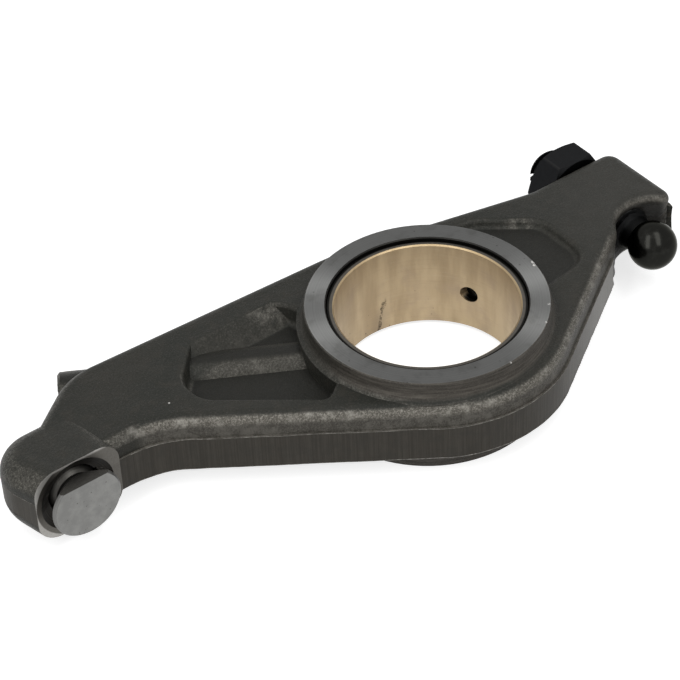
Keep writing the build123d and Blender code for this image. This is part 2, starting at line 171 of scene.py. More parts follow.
class Shade:
    """A node material written as short calls. Places are in millimetres in the part's frame."""

    def __init__(self, name):
        self.material = bpy.data.materials.new(name)
        self.material.use_nodes = True
        self.nodes = self.material.node_tree.nodes
        self.links = self.material.node_tree.links
        self.shader = self.nodes["Principled BSDF"]
        source = self.nodes.new("ShaderNodeTexCoord")
        self.place = self.vector("SCALE", source.outputs["Object"], scale=1 / MM)
        self.x, self.y, self.z = self.split(self.place)
        self.nx, self.ny, self.nz = self.split(source.outputs["Normal"])

    def feed(self, value, socket):
        if isinstance(value, bpy.types.NodeSocket):
            self.links.new(value, socket)
        else:
            socket.default_value = value

    def split(self, vector):
        node = self.nodes.new("ShaderNodeSeparateXYZ")
        self.feed(vector, node.inputs[0])
        return node.outputs

    def join(self, x, y, z):
        node = self.nodes.new("ShaderNodeCombineXYZ")
        for value, socket in zip((x, y, z), node.inputs):
            self.feed(value, socket)
        return node.outputs[0]

    def vector(self, operation, a, b=(0, 0, 0), scale=1.0):
        node = self.nodes.new("ShaderNodeVectorMath")
        node.operation = operation
        self.feed(a, node.inputs[0])
        self.feed(b, node.inputs[1])
        self.feed(scale, node.inputs[3])
        return node.outputs[1 if operation in ("LENGTH", "DISTANCE") else 0]

    def math(self, operation, a, b=0.0):
        node = self.nodes.new("ShaderNodeMath")
        node.operation = operation
        self.feed(a, node.inputs[0])
        self.feed(b, node.inputs[1])
        return node.outputs[0]

    def fold(self, operation, values):
        total = values[0]
        for value in values[1:]:
            total = self.math(operation, total, value)
        return total

    def times(self, *values):
        return self.fold("MULTIPLY", values)

    def plus(self, *values):
        return self.fold("ADD", values)

    def either(self, *values):
        return self.fold("MAXIMUM", values)

    def flip(self, value):
        return self.math("SUBTRACT", 1.0, value)

    def size(self, value):
        return self.math("ABSOLUTE", value)

    def rise(self, value, low, high):
        """0 below low and 1 above high, or the other way round where low is the larger."""
        node = self.nodes.new("ShaderNodeMapRange")
        node.interpolation_type = "SMOOTHSTEP"
        self.feed(value, node.inputs["Value"])
        node.inputs["From Min"].default_value = low
        node.inputs["From Max"].default_value = high
        return node.outputs["Result"]

    def blend(self, factor, a, b):
        """Numbers a to b."""
        node = self.nodes.new("ShaderNodeMix")
        self.feed(factor, node.inputs[0])
        self.feed(a, node.inputs[2])
        self.feed(b, node.inputs[3])
        return node.outputs[0]

    def tint(self, factor, a, b):
        """Colours a to b, given as three linear numbers or a socket."""
        node = self.nodes.new("ShaderNodeMix")
        node.data_type = "RGBA"
        self.feed(factor, node.inputs[0])
        self.feed(a if isinstance(a, bpy.types.NodeSocket) else (*a, 1), node.inputs[6])
        self.feed(b if isinstance(b, bpy.types.NodeSocket) else (*b, 1), node.inputs[7])
        return node.outputs[2]

    def stretch(self, x, y, z):
        """The place with each coordinate scaled, for marks that run along one of them."""
        return self.join(self.times(self.x, x), self.times(self.y, y), self.times(self.z, z))

    def cloud(self, scale, detail=3.0, roughness=0.55, place=None):
        """Noise from 0 to 1 whose features are about 1/scale millimetres."""
        node = self.nodes.new("ShaderNodeTexNoise")
        self.feed(self.place if place is None else place, node.inputs["Vector"])
        node.inputs["Scale"].default_value = scale
        node.inputs["Detail"].default_value = detail
        node.inputs["Roughness"].default_value = roughness
        return node.outputs["Fac"]

    def cells(self, scale):
        """Distance to the nearest of random points about 1/scale millimetres apart."""
        node = self.nodes.new("ShaderNodeTexVoronoi")
        self.feed(self.place, node.inputs["Vector"])
        node.inputs["Scale"].default_value = scale
        return node.outputs["Distance"]

    def radius(self, centre=(0, 0, 0), drop=2):
        """Distance from an axis: drop is the coordinate along it."""
        moved = self.vector("SUBTRACT", self.place, centre)
        parts = list(self.split(moved))
        parts[drop] = 0.0
        return self.vector("LENGTH", self.join(*parts))

    def turning(self, radius, scale, detail=3, along=0.0):
        """Noise in rings round an axis, from the distance to it and a coordinate along it."""
        return self.cloud(1.0, detail, 0.5, self.join(self.times(radius, scale), along, 0.0))

    def distance(self, centre):
        return self.vector("DISTANCE", self.place, centre)

    def spot(self, centre, radius):
        """1 at a point, falling to 0 at a radius."""
        return self.rise(self.distance(centre), radius, radius * 0.45)

    def within(self, direction, end, full):
        """1 up to full along a direction in x and y, and 0 past end."""
        a, b = direction
        return self.rise(self.plus(self.times(self.x, a), self.times(self.y, b)), end, full)

    def around(self, axis):
        """World direction round an axis through the frame's origin, for turned surfaces."""
        tangent = self.vector("NORMALIZE", self.vector("CROSS_PRODUCT", axis, self.place))
        node = self.nodes.new("ShaderNodeVectorTransform")
        node.vector_type = "VECTOR"
        node.convert_from, node.convert_to = "OBJECT", "WORLD"
        self.feed(tangent, node.inputs[0])
        return node.outputs[0]

    def bump(self, height, depth, normal=None):
        """Bump from a height of 0 to 1, depth millimetres deep."""
        node = self.nodes.new("ShaderNodeBump")
        node.inputs["Strength"].default_value = 1.0
        node.inputs["Distance"].default_value = depth * MM
        self.feed(height, node.inputs["Height"])
        if normal is not None:
            self.feed(normal, node.inputs["Normal"])
        return node.outputs[0]

    def finish(self, **inputs):
        """Feed the shader's sockets, each named with underscores for spaces."""
        for name, value in inputs.items():
            if isinstance(value, tuple) and len(value) == 3:
                value = (*value, 1)
            self.feed(value, self.shader.inputs[name.replace("_", " ")])
        return self.material


def dress(node, material):
    slots = frame["nodes"][node].material_slots
    if not slots:
        frame["nodes"][node].data.materials.append(material)
    for material_slot in frame["nodes"][node].material_slots:
        material_slot.material = material


def forging_places(s):
    """Where each kind of surface of the forging is, from 0 to 1."""
    on = SimpleNamespace()
    level, height = s.size(s.nz), s.size(s.z)
    on.radius, on.foot_radius = s.radius(), s.radius((FOOT_X, 0, 0), drop=1)
    off_housing = s.rise(on.radius, HOUSING_R + 1.0, HOUSING_R + 2.0)

    # Machined and trimmed
    on.ring_face = s.times(
        s.rise(level, 0.97, 0.995), s.rise(height, HUB_HALF - 0.2, HUB_HALF - 0.1))
    off_ring = s.flip(on.ring_face)
    on.housing = s.times(s.rise(on.radius, HOUSING_R + 0.6, HOUSING_R + 0.3), off_ring)
    on.hub_side = s.times(
        s.rise(on.radius, *HUB_SIDE_RADIUS), s.rise(height, ARM_HALF + 0.1, ARM_HALF + 0.9),
        off_ring)
    at_foot = s.rise(s.x, FOOT_BOSS_X + 0.5, FOOT_BOSS_X - 0.5)
    on.pad = s.times(
        s.rise(s.ny, -0.97, -0.99), at_foot, s.rise(s.y, PAD_Y + 0.15, PAD_Y + 0.05))
    mouth_and_socket = s.either(
        s.times(
            s.rise(on.foot_radius, MOUTH_R + 0.1, MOUTH_R + 0.03),
            s.rise(s.y, MOUTH_Y + 0.1, MOUTH_Y - 0.1)),
        s.times(
            s.rise(on.foot_radius, SOCKET_R + 0.1, SOCKET_R),
            s.rise(s.y, SOCKET_Y + 0.2, SOCKET_Y - 0.2)),
    )
    on.mouth = s.times(mouth_and_socket, at_foot, s.flip(on.pad))
    on.seat = s.times(
        s.rise(s.ny, 0.97, 0.99),
        s.rise(s.size(s.math("SUBTRACT", s.y, NUT_SEAT_Y)), 0.1, 0.04))
    on.machined = s.either(on.ring_face, on.housing, on.pad, on.seat, on.mouth)
    on.band = s.times(
        s.rise(level, 0.075, 0.035),
        s.rise(s.z, BAND_BOTTOM - 0.06, BAND_BOTTOM + 0.02),
        s.rise(s.z, BAND_TOP + 0.06, BAND_TOP - 0.02),
        off_housing,
    )
    on.step = s.times(
        s.rise(level, 0.7, 0.95), s.rise(s.size(s.plus(s.z, -BAND_TOP)), 0.14, 0.07))
    # The band's side by the ball, painted paler as a painted highlight
    on.flank = s.times(
        s.rise(s.nx, 0.20, 0.55), s.rise(s.ny, 0.1, -0.2), s.rise(s.x, *FLANK_X))

    # As forged
    on.forged = s.flip(s.either(on.machined, on.band))
    on.pocket_floor = s.times(
        s.rise(level, 0.93, 0.99), s.rise(height, ARM_HALF - 0.15, ARM_HALF - 0.3), on.forged)
    on.pocket = s.either(
        s.times(
            s.within(*LEFT_POCKET_LOWER), s.within(*LEFT_POCKET_UPPER),
            s.rise(s.x, *LEFT_POCKET_X)),
        s.times(
            s.within(*RIGHT_POCKET_LOWER), s.rise(s.x, *RIGHT_POCKET_START_X),
            s.rise(s.x, *RIGHT_POCKET_END_X), s.within(*RIGHT_POCKET_UPPER)),
    )
    on.rib = s.times(s.rise(s.y, *RIB_Y), s.rise(s.x, *RIB_X))
    on.paler_end = s.rise(s.x, *PALER_END_X)
    to_dish = s.distance((SCREW_X, DISH_Y, 0))
    on.dish = s.rise(to_dish, DISH_R + 0.9, DISH_R + 0.05)
    on.dish_rim = s.rise(to_dish, DISH_R + 4.5, DISH_R + 2.2)

    # Rounded edges, worn lighter. Those towards -Y, and the walls there, get a painted highlight.
    on.foot_boss = s.rise(s.x, FOOT_BOSS_X + 5.0, FOOT_BOSS_X + 1.0)
    arm_edge = s.times(
        s.rise(level, 0.13, 0.40), s.rise(level, 0.93, 0.72),
        s.rise(height, ARM_HALF + 0.1, ARM_HALF - 0.2))
    soft_edge = s.times(
        s.rise(level, 0.20, 0.6), s.rise(level, 0.995, 0.90), s.either(on.foot_boss, on.pocket))
    on.edge = s.times(s.either(arm_edge, soft_edge), on.forged)
    on.minus_y = s.times(
        s.rise(s.ny, 0.15, -0.35), s.blend(on.foot_boss, 1.0, 0.35),
        s.blend(s.rise(s.nx, 0.30, 0.65), 1.0, 0.35))
    off_band = s.either(
        s.rise(s.z, BAND_TOP - 0.01, BAND_TOP + 0.04),
        s.rise(s.z, BAND_BOTTOM + 0.01, BAND_BOTTOM - 0.04))
    on.wall = s.times(
        off_band, s.rise(level, 0.75, 0.45), s.rise(height, ARM_HALF, ARM_HALF - 0.2),
        on.forged, on.minus_y, s.flip(on.pocket), s.flip(on.foot_boss), off_housing)
    return on


def forging_material():
    s = Shade("forged_scale")
    on = forging_places(s)
    wide = s.cloud(0.05, 4)
    patchy = s.cloud(0.35, 5, 0.6)
    fine = s.cloud(2.4, 3, 0.7)
    grain = s.cloud(5.5, 2, 0.6)
    blasted = s.plus(s.times(fine, 0.6), s.times(grain, 0.4))
    speckle = s.rise(blasted, 0.42, 0.66)

    # Scale, with pocket floors a little darker
    scale = s.tint(s.rise(wide, 0.35, 0.65), *SCALE)
    scale = s.tint(s.rise(patchy, 0.45, 0.75), scale, SCALE_PATCH)
    scale = s.tint(s.times(on.paler_end, s.blend(patchy, 0.3, 0.9)), scale, SCALE_PALE_END)
    scale = s.tint(s.times(s.rise(fine, 0.50, 0.72), 0.65), scale, SCALE_FLECK)
    scale = s.tint(s.times(s.rise(fine, 0.45, 0.28), 0.6), scale, SCALE_PIT)
    colour = s.tint(s.times(on.pocket_floor, 0.75), scale, s.tint(fine, *POCKET_FLOOR))

    # Walls towards -Y and the step beside the band, painted lighter as a painted highlight
    wall = s.tint(speckle, *WALL_HIGHLIGHT)
    wall_patch = s.rise(s.plus(patchy, s.times(fine, 0.3)), 0.55, 0.85)
    wall = s.tint(wall_patch, wall, WALL_PATCH)
    colour = s.tint(s.either(s.times(on.wall, 0.9), on.step), colour, wall)

    # Worn edges with a painted highlight, strongest towards -Y, fainter in the pockets and round
    # the dish
    wear_and_highlight = s.times(
        on.edge, s.blend(on.minus_y, s.blend(speckle, 0.08, 0.45), s.blend(speckle, 0.70, 1.0)))
    # Painted highlights on two corners of the pockets' rims
    corners = s.either(*(s.rise(s.distance(centre), reach, 1.5) for centre, reach in RIM_HIGHLIGHTS))
    corners = s.times(corners, s.rise(patchy, 0.3, 0.6))
    pocket_wear_and_highlight = s.either(
        s.times(s.blend(on.rib, 0.10, 0.42), s.blend(patchy, 0.7, 1.1)), s.times(corners, 0.5))
    wear_and_highlight = s.times(wear_and_highlight, s.blend(on.pocket, 1.0, pocket_wear_and_highlight))
    dish_wear_and_highlight = s.blend(s.rise(patchy, 0.4, 0.7), 0.22, 0.60)
    wear_and_highlight = s.times(wear_and_highlight, s.blend(on.dish_rim, 1.0, dish_wear_and_highlight))
    edge = s.tint(speckle, *EDGE_WEAR_AND_HIGHLIGHT)
    edge = s.tint(s.rise(patchy, 0.50, 0.75), edge, EDGE_PATCH)
    colour = s.tint(wear_and_highlight, colour, edge)

    # Turned wall under the hub face, brown with level tool marks, with a painted highlight towards
    # -Y
    side_marks = s.cloud(1.0, 4, 0.6, s.stretch(0.12, 0.12, 2.2))
    side = s.tint(s.rise(side_marks, 0.35, 0.7), *HUB_SIDE)
    side = s.tint(s.times(s.rise(speckle, 0.3, 0.8), 0.4), side, HUB_SIDE_FLECK)
    colour = s.tint(s.times(on.hub_side, s.blend(on.minus_y, 0.25, 0.8)), colour, side)

    # Trimmed band with marks along the bore's direction
    drawn = s.stretch(2.1, 2.1, 0.05)
    marks = s.cloud(1.0, 4, 0.65, drawn)
    fine_marks = s.cloud(2.6, 2, 0.5, drawn)
    band = s.tint(s.rise(marks, 0.3, 0.72), *BAND)
    band = s.tint(s.times(s.rise(fine_marks, 0.58, 0.8), 0.25), band, BAND_MARK)
    band = s.tint(s.times(s.rise(patchy, 0.4, 0.65), 0.35), band, BAND_PATCH)
    # Painted highlight on the band's side by the ball
    band = s.tint(on.flank, band, s.tint(fine_marks, *BAND_FLANK_HIGHLIGHT))
    colour = s.tint(on.band, colour, band)

    # Turned ring face with a bright rim, the housing in painted shade, and the nut's seat
    turned = s.turning(on.radius, 5.0)
    stain = s.cloud(0.22, 4, 0.6)
    ring = s.tint(s.rise(turned, 0.3, 0.7), *RING)
    ring = s.tint(s.times(s.rise(stain, 0.5, 0.72), 0.45), ring, RING_STAIN)
    specks = s.times(s.rise(s.cells(0.55), 0.16, 0.08), s.rise(s.cloud(0.3), 0.5, 0.56))
    ring = s.tint(s.times(specks, 0.6), ring, RING_SPECK)
    colour = s.tint(on.ring_face, colour, ring)
    rim = s.times(on.ring_face, s.rise(on.radius, HUB_R - 0.4, HUB_R - 0.15))
    colour = s.tint(s.times(rim, s.blend(fine, 0.1, 0.9)), colour, RING_RIM)
    # The housing painted near black, as painted shade in the gap round the bush
    colour = s.tint(on.housing, colour, s.tint(fine, *HOUSING_SHADE))
    colour = s.tint(on.seat, colour, NUT_SEAT)

    # Foot boss: its pad, with painted shade at one end and a painted highlight at the rim, and its
    # mouth in painted shade
    colour = s.tint(on.pad, colour, s.tint(fine, *PAD))
    # Painted shade on the pad beside the foot
    pad_shade = s.times(on.pad, s.rise(s.x, *PAD_SHADE_X), s.rise(s.z, *PAD_SHADE_Z))
    colour = s.tint(s.times(pad_shade, 0.8), colour, PAD_SHADE)
    # Painted highlight along the pad's rim
    pad_rim_highlight = s.either(
        s.rise(s.z, *PAD_RIM_Z),
        s.times(s.rise(on.foot_radius, *PAD_RIM_RADIUS), s.rise(s.x, *PAD_RIM_X)))
    colour = s.tint(s.times(on.pad, pad_rim_highlight), colour, s.tint(fine, *PAD_RIM_HIGHLIGHT))
    mouth_marks = s.turning(on.foot_radius, 3.5, along=s.times(s.y, 3.5))
    # The mouth and socket painted dark, as painted shade
    colour = s.tint(on.mouth, colour, s.tint(s.rise(mouth_marks, 0.35, 0.65), *MOUTH_SHADE))

    # The dish round the ball painted near black, as painted shade
    colour = s.tint(s.times(on.dish, 0.85), colour, s.tint(patchy, *DISH_SHADE))
    knock = s.either(*(s.spot(centre, radius) for centre, radius in KNOCKS))
    colour = s.tint(s.times(knock, s.rise(fine, 0.3, 0.6)), colour, KNOCK)

    # Depth and gloss of the surface
    normal = s.bump(s.times(blasted, on.forged), 0.16)
    normal = s.bump(s.times(s.cloud(0.16, 3), on.forged), 0.5, normal)
    normal = s.bump(s.times(marks, on.band), 0.07, normal)
    normal = s.bump(s.times(turned, s.either(on.ring_face, on.pad)), 0.006, normal)
    normal = s.bump(s.times(mouth_marks, on.mouth), 0.03, normal)
    normal = s.bump(s.times(knock, -1.0), 0.12, normal)
    roughness = s.blend(on.forged, 0.42, s.blend(speckle, 0.48, 0.40))
    roughness = s.blend(on.ring_face, roughness, s.blend(stain, 0.50, 0.62))
    roughness = s.blend(on.band, roughness, s.blend(marks, 0.58, 0.44))
    metal = s.either(
        s.times(wear_and_highlight, 0.45), s.times(on.band, 0.25), s.times(on.machined, 0.9),
        s.times(knock, 0.9))
    return s.finish(
        Base_Color=colour,
        Roughness=roughness,
        Metallic=metal,
        Specular_IOR_Level=0.15,
        Normal=normal,
        Anisotropic=s.times(on.ring_face, 0.95),
        Tangent=s.around((0, 0, 1)),
    )


def bush_material():
    s = Shade("bored_bronze")
    radius, level = s.radius(), s.size(s.nz)
    lead_in = s.times(s.rise(level, 0.3, 0.5), s.rise(level, 0.95, 0.85))
    backing = s.times(s.rise(radius, *BUSH_BACKING_RADIUS), s.rise(level, 0.3, 0.9))
    seam_shade = s.times(backing, s.rise(radius, *BUSH_SEAM_RADIUS))
    streaks = s.cloud(1.0, 5, 0.6, s.stretch(0.10, 0.10, 3.0))
    rings = s.cloud(1.0, 2, 0.5, s.join(0.0, 0.0, s.times(s.z, 9.0)))
    upright = s.cloud(1.0, 4, 0.55, s.stretch(0.28, 0.28, 0.05))
    worn = s.cloud(0.13, 5, 0.6)
    colour = s.tint(s.rise(upright, 0.3, 0.7), *BRONZE)
    colour = s.tint(s.times(s.rise(worn, 0.48, 0.72), 0.55), colour, BRONZE_WORN)
    colour = s.tint(s.times(s.rise(streaks, 0.52, 0.78), 0.30), colour, BRONZE_STREAK_PALE)
    colour = s.tint(s.times(s.rise(streaks, 0.46, 0.25), 0.25), colour, BRONZE_STREAK_DARK)

    # Smudge and scratches low in the bore on the +Y side, along a line that leans with height
    drift = s.times(s.math("SUBTRACT", s.cloud(0.5, 3), 0.5), 2.2)
    across = s.size(s.plus(s.x, s.times(s.z, -0.20), -3.6, drift))
    plus_y = s.rise(s.y, 13.0, 16.0)
    haze = s.times(s.rise(across, 3.4, 0.4), plus_y, s.rise(s.z, -3.0, -7.0), 0.35)
    smudge = s.times(
        s.rise(across, 0.65, 0.1), s.rise(s.y, 15.0, 17.0),
        s.rise(s.z, -1.6, -3.6), s.rise(s.cloud(1.6, 4, 0.7), 0.36, 0.6))
    scratches = s.times(
        s.rise(s.cells(0.8), 0.17, 0.09), plus_y,
        s.rise(s.cloud(0.25, 2), 0.50, 0.60), s.rise(s.z, 0.0, -3.0))
    colour = s.tint(haze, colour, BRONZE_HAZE)
    colour = s.tint(s.times(s.either(smudge, scratches), 0.8), colour, BRONZE_SMUDGE)

    colour = s.tint(s.times(lead_in, 0.35), colour, BRONZE_LEAD_IN)
    colour = s.tint(backing, colour, s.tint(s.cloud(1.5, 3), *BUSH_BACKING))
    # The bush's outer rim painted near black, as painted shade in the gap by the housing
    colour = s.tint(seam_shade, colour, BUSH_SEAM_SHADE)
    normal = s.bump(rings, 0.006)
    normal = s.bump(streaks, 0.010, normal)
    roughness = s.blend(smudge, s.blend(worn, 0.36, 0.50), 0.7)
    return s.finish(
        Base_Color=colour,
        Roughness=roughness,
        Metallic=1.0,
        Normal=normal,
        Anisotropic=0.6,
        Tangent=s.around((0, 0, 1)),
    )


def screw_material():
    s = Shade("hardened_black")
    ball = s.rise(s.y, *BALL_TOP_Y)
    off_ball = s.flip(ball)
    worn = s.times(s.rise(s.cloud(0.7, 4, 0.6), 0.50, 0.72), 0.5)
    crest = s.times(
        s.rise(s.radius((SCREW_X, 0, 0), drop=1), SCREW_R - 0.15, SCREW_R - 0.03), off_ball)
    oxide = s.tint(s.cloud(1.3, 4, 0.6), *SCREW_OXIDE)
    oxide = s.tint(s.times(crest, s.rise(s.cloud(1.1, 3), 0.35, 0.7), 0.5), oxide, SCREW_CREST)
    normal = s.bump(s.times(s.cloud(3.0, 3), off_ball), 0.03)
    normal = s.bump(s.cloud(0.5, 2), 0.010, normal)
    return s.finish(
        Base_Color=s.tint(ball, oxide, s.tint(worn, *BALL)),
        Roughness=s.blend(ball, 0.50, s.blend(worn, 0.20, 0.30)),
        Metallic=1.0,
        Specular_Tint=SCREW_TINT,
        Normal=normal,
    )


def nut_material():
    s = Shade("black_oxide")
    level = s.size(s.ny)
    radius = s.radius((SCREW_X, 0, 0), drop=1)
    chamfer = s.times(s.rise(level, 0.2, 0.5), s.rise(level, 0.99, 0.95))
    drag = s.cloud(1.0, 3, 0.6, s.stretch(2.5, 0.10, 2.5))
    colour = s.tint(s.cloud(1.1, 5, 0.6), *NUT)
    colour = s.tint(s.times(chamfer, 0.3), colour, NUT_CHAMFER)
    colour = s.tint(s.times(s.rise(radius, *NUT_CORNER_RADIUS), 0.5), colour, NUT_CORNER)
    colour = s.tint(s.times(s.rise(drag, 0.5, 0.8), 0.2), colour, NUT_DRAG)
    normal = s.bump(s.cloud(1.2, 2, 0.5), 0.012)
    normal = s.bump(drag, 0.006, normal)
    return s.finish(
        Base_Color=colour,
        Roughness=s.blend(s.cloud(0.8, 3), 0.34, 0.50),
        Metallic=1.0,
        Specular_Tint=NUT_TINT,
        Normal=normal,
    )


def foot_material():
    s = Shade("turned_steel")
    radius = s.radius((FOOT_X, 0, 0), drop=1)
    face = s.rise(s.ny, -0.9, -0.98)
    rings = s.turning(radius, 4.0, along=s.times(s.y, 4.0))
    worn = s.cloud(0.35, 5, 0.65)
    colour = s.tint(s.rise(rings, 0.3, 0.7), *FOOT)
    ground = s.tint(s.rise(worn, 0.35, 0.7), *FOOT_FACE)
    specks = s.times(s.rise(s.cells(0.9), 0.20, 0.11), s.rise(s.cloud(0.4), 0.48, 0.56))
    ground = s.tint(s.times(specks, 0.75), ground, FOOT_SPECK)
    colour = s.tint(face, colour, ground)
    # The neck and the ball, in the socket, are painted darker as painted shade, and the flat is
    # darker too
    inner = s.either(s.rise(s.y, PAD_Y - 2.6, PAD_Y - 0.6), s.rise(s.nz, 0.80, 0.95))
    colour = s.tint(s.times(inner, 0.85), colour, s.tint(rings, *FOOT_INNER))
    return s.finish(
        Base_Color=colour,
        Roughness=s.blend(worn, 0.34, 0.46),
        Metallic=0.9,
        Normal=s.bump(s.blend(face, rings, s.turning(radius, 9.0, 2)), 0.010),
    )


def small_steel_material(name, tones, smooth, rough, centre=(0, 0, 0), drop=2):
    """Steel with turning marks round an axis and uneven wear."""
    s = Shade(name)
    rings = s.turning(s.radius(centre, drop), 4.5)
    worn = s.cloud(0.9, 4, 0.65)
    return s.finish(
        Base_Color=s.tint(s.rise(worn, 0.3, 0.7), *tones),
        Roughness=s.blend(worn, smooth, rough),
        Metallic=0.85,
        Normal=s.bump(s.plus(s.times(rings, 0.6), s.times(worn, 0.4)), 0.03),
    )


def burr_material():
    s = Shade("trimmed_burr")
    bright = s.rise(s.cloud(0.9, 4, 0.7), 0.38, 0.66)
    return s.finish(
        Base_Color=s.tint(bright, *BURR),
        Roughness=s.blend(bright, 0.55, 0.36),
        Metallic=0.5,
        Normal=s.bump(s.cloud(3.0, 3), 0.04),
    )


dress("arm_forging", forging_material())
dress("shaft_bush", bush_material())
dress("lock_nut", nut_material())
dress("swivel_foot", foot_material())
dress("foot_retaining_ring", small_steel_material(
    "spring_wire", SPRING_WIRE, 0.35, 0.5, (FOOT_X, 0, 0), 1))
plug_steel = small_steel_material("plug_steel", PLUG, 0.34, 0.5)
dress("long_gallery_plug", plug_steel)
dress("short_gallery_plug", plug_steel)
hardened_black = screw_material()
dress("adjusting_screw", hardened_black)
trimmed_burr = burr_material()


# ---------------------------------------------------------------- pieces

def piece(name, verts, faces, body, material, smooth_below=None):
    """A mesh from points in millimetres, riding on a body."""
    mesh = bpy.data.meshes.new(name)
    mesh.from_pydata([[c * MM for c in v] for v in verts], [], faces)
    mesh.validate()
    made = bpy.data.objects.new(name, mesh)
    scene.collection.objects.link(made)
    mesh.materials.append(material)
    tidy_normals(mesh, smooth_below)
    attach(made, body)
    return made


def tidy_normals(mesh, smooth_below):
    """Turn faces outward, and smooth those that meet at less than an angle in degrees."""
    work = bmesh.new()
    work.from_mesh(mesh)
    bmesh.ops.recalc_face_normals(work, faces=work.faces)
    work.to_mesh(mesh)
    work.free()
    if smooth_below is not None:
        mesh.shade_smooth()
        mesh.set_sharp_from_angle(angle=radians(smooth_below))


THREAD_PITCH = 1.25
THREAD_DEPTH = 0.6134 * THREAD_PITCH
THREAD_COLUMNS = 72
THREAD_ROWS_PER_PITCH = 12
BALL_ROWS = 28
NECK_R, SHOULDER_Y = 4.0, 0.3
TIP_DOME, TIP_CHAMFER = 0.4, 0.8
TIP_SHARES = 1.0, 0.97, 0.85, 0.65, 0.4, 0.15
SLOT_LENGTH, SLOT_DEPTH, SLOT_WIDTH = 14.0, 1.8, 1.6
SCREW_SMOOTH_BELOW = 35


def screw_rows():
    """Rows of the screw from the ball's pole to the tip's centre: height, radius, threaded."""
    rows = []
    last = pi - atan2(NECK_R, sqrt(BALL_R**2 - NECK_R**2))
    for i in range(1, BALL_ROWS + 1):
        turn = last * i / BALL_ROWS
        rows.append((BALL_Y - BALL_R * cos(turn), BALL_R * sin(turn), False))
    rows.append((SHOULDER_Y - 0.5, NECK_R, False))
    rows.append((SHOULDER_Y, NECK_R + 0.06, False))
    step = THREAD_PITCH / THREAD_ROWS_PER_PITCH
    tip_r, dome_y = SCREW_R - TIP_CHAMFER, TIP_Y - TIP_DOME
    y = SHOULDER_Y + step
    while y < dome_y:
        rows.append((y, min(NECK_R + (y - SHOULDER_Y), SCREW_R, tip_r + (dome_y - y)), True))
        y += step
    for share in TIP_SHARES:
        rows.append((TIP_Y - TIP_DOME * share**2, tip_r * share, False))
    return rows


def thread_radius(y, turn, limit):
    """Radius of a 60 degree thread with a flat crest and root."""
    phase = (y / THREAD_PITCH - turn / (2 * pi)) % 1.0
    away = abs(phase - 0.5) * THREAD_PITCH
    fall = (away - THREAD_PITCH / 16) / (THREAD_PITCH * (0.5 - 1 / 16 - 1 / 8))
    return min(limit, SCREW_R - THREAD_DEPTH * min(max(fall, 0.0), 1.0))


def adjusting_screw():
    verts, faces = [], []
    rows = screw_rows()
    n = THREAD_COLUMNS
    for y, limit, threaded in rows:
        for j in range(n):
            turn = 2 * pi * j / n
            r = thread_radius(y, turn, limit) if threaded else limit
            verts.append((SCREW_X + r * cos(turn), y, r * sin(turn)))
    for i in range(len(rows) - 1):
        for j in range(n):
            k = (j + 1) % n
            faces.append((i * n + j, i * n + k, (i + 1) * n + k, (i + 1) * n + j))
    bottom, top = len(verts), len(verts) + 1
    verts += [(SCREW_X, BALL_Y - BALL_R, 0), (SCREW_X, TIP_Y, 0)]
    start = (len(rows) - 1) * n
    for j in range(n):
        k = (j + 1) % n
        faces.append((bottom, k, j))
        faces.append((top, start + j, start + k))
    made = piece("threaded_screw", verts, faces, "screw", hardened_black)
    cut_slot(made)
    made.data.shade_smooth()
    made.data.set_sharp_from_angle(angle=radians(SCREW_SMOOTH_BELOW))
    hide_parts("adjusting_screw")


def cut_slot(made):
    """Screwdriver slot across the tip."""
    cutter_mesh = bpy.data.meshes.new("slot_cutter")
    work = bmesh.new()
    bmesh.ops.create_cube(work, size=1.0)
    for v in work.verts:
        x, y, z = v.co.x * SLOT_LENGTH, v.co.y * 2 * SLOT_DEPTH, v.co.z * SLOT_WIDTH
        v.co = Vector((SCREW_X + x, TIP_Y + y, z)) * MM
    work.to_mesh(cutter_mesh)
    work.free()
    cutter = bpy.data.objects.new("slot_cutter", cutter_mesh)
    scene.collection.objects.link(cutter)
    boolean = made.modifiers.new("slot", "BOOLEAN")
    boolean.operation, boolean.solver, boolean.object = "DIFFERENCE", "EXACT", cutter
    bpy.context.view_layer.update()
    evaluated = made.evaluated_get(bpy.context.evaluated_depsgraph_get())
    result = bpy.data.meshes.new_from_object(evaluated)
    made.modifiers.clear()
    made.data = result
    bpy.data.objects.remove(cutter)


def section(node, height):
    """The closed outlines that a level plane cuts from a CAD node, longest first."""
    work = bmesh.new()
    work.from_mesh(frame["nodes"][node].data)
    bmesh.ops.remove_doubles(work, verts=work.verts, dist=1e-6)
    everything = work.verts[:] + work.edges[:] + work.faces[:]
    cut = bmesh.ops.bisect_plane(
        work, geom=everything, plane_co=(0, 0, height * MM), plane_no=(0, 0, 1))
    beside = {}
    for item in cut["geom_cut"]:
        if isinstance(item, bmesh.types.BMEdge):
            a, b = item.verts
            beside.setdefault(a, []).append(b)
            beside.setdefault(b, []).append(a)
    loops, left = [], set(beside)
    while left:
        start = min(left, key=lambda v: (v.co.x, v.co.y))
        loop, last, here = [], None, start
        while here is not None and here in left:
            left.discard(here)
            loop.append((here.co.x / MM, here.co.y / MM))
            ahead = [v for v in beside[here] if v is not last and v in left]
            last, here = here, ahead[0] if ahead else None
        loops.append(loop)
    work.free()
    return sorted(loops, key=lambda loop: -perimeter(loop))


def sides(loop):
    return zip(loop, loop[1:] + loop[:1])


def perimeter(loop):
    return sum(hypot(b[0] - a[0], b[1] - a[1]) for a, b in sides(loop))


